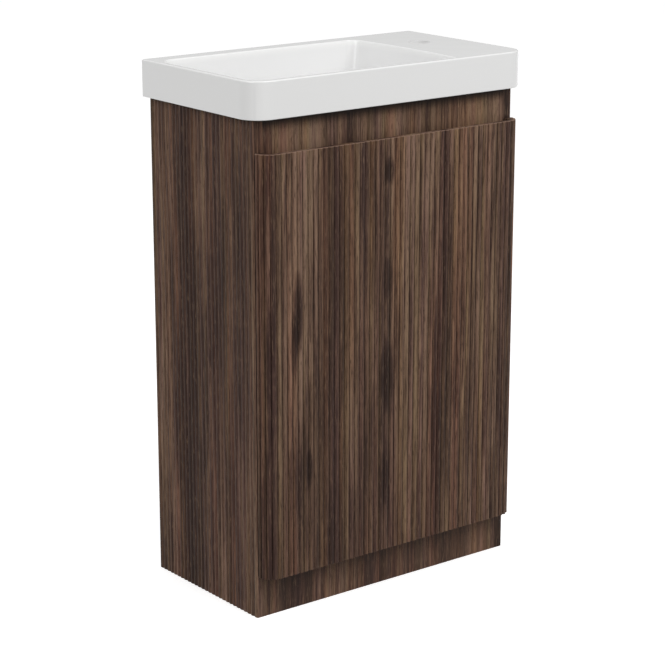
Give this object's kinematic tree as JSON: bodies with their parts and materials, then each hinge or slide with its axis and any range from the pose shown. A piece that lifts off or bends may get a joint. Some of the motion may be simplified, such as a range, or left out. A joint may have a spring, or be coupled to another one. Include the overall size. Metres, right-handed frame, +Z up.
{
  "type": "vanity unit with basin",
  "caption": "Slim floor-standing bathroom vanity: reeded walnut carcass and round-edged reeded door on concealed hinges, under a white basin with a tap deck on the right.",
  "frame": {"origin": "on the floor, under the middle of the whole unit (door front to wall, basin side to side)", "axes": "+X to the right seen from the front, +Y from the door to the wall, +Z up"},
  "size_m": [0.543, 0.305, 0.85],
  "materials": {
    "basin": "gloss white",
    "walnut_reeded": "matt walnut foil, upright grain, reeded",
    "walnut_plain": "matt walnut foil, upright grain",
    "walnut_inside": "matt walnut foil",
    "beech": "bare fluted beech",
    "nickel": "nickel plated",
    "zinc": "bright zinc plated",
    "soft_clear": "soft translucent"
  },
  "bodies": {
    "carcass": {"basin": "basin", "side_panel_left": "walnut_reeded", "side_panel_right": "walnut_reeded", "top_rail": "walnut_plain", "plinth": "walnut_plain", "base_panel": "walnut_inside", "back_rail_top": "walnut_inside", "back_rail_bottom": "walnut_inside", "dowels": "beech", "shelf": "walnut_inside", "shelf_pegs": "nickel", "wall_brackets": "zinc", "bracket_screws": "zinc", "hinge_plates": "nickel", "plate_screws": "nickel", "arm_screws": "nickel", "hinge_arms": "nickel", "arm_pins": "nickel"},
    "outer_links": {"outer_links": "nickel"},
    "inner_links": {"inner_links": "nickel"},
    "door": {"door_panel": "walnut_reeded", "door_bumpers": "soft_clear", "hinge_cups": "nickel", "cup_pins": "nickel", "cup_screws": "nickel"}
  },
  "joints": [
    {"name": "outer_link_pivot", "type": "hinge", "parent": "carcass", "child": "outer_links", "pos_m": [0.2215, -0.115, 0.40475], "axis": [0, 0, -1], "range_deg": [0, 35]},
    {"name": "door_swing", "type": "hinge", "parent": "outer_links", "child": "door", "pos_m": [0.2454, -0.1293, 0.40475], "axis": [0, 0, 1], "range_deg": [0, 130]},
    {"name": "inner_link_pivot", "type": "hinge", "parent": "carcass", "child": "inner_links", "pos_m": [0.2218, -0.1339, 0.40475], "axis": [0, 0, -1], "range_deg": [0, 40]}
  ],
  "couplings": [
    {"joint": "outer_link_pivot", "follows": "door_swing", "ratio": 0.26923},
    {"joint": "inner_link_pivot", "follows": "door_swing", "ratio": 0.30769}
  ]
}
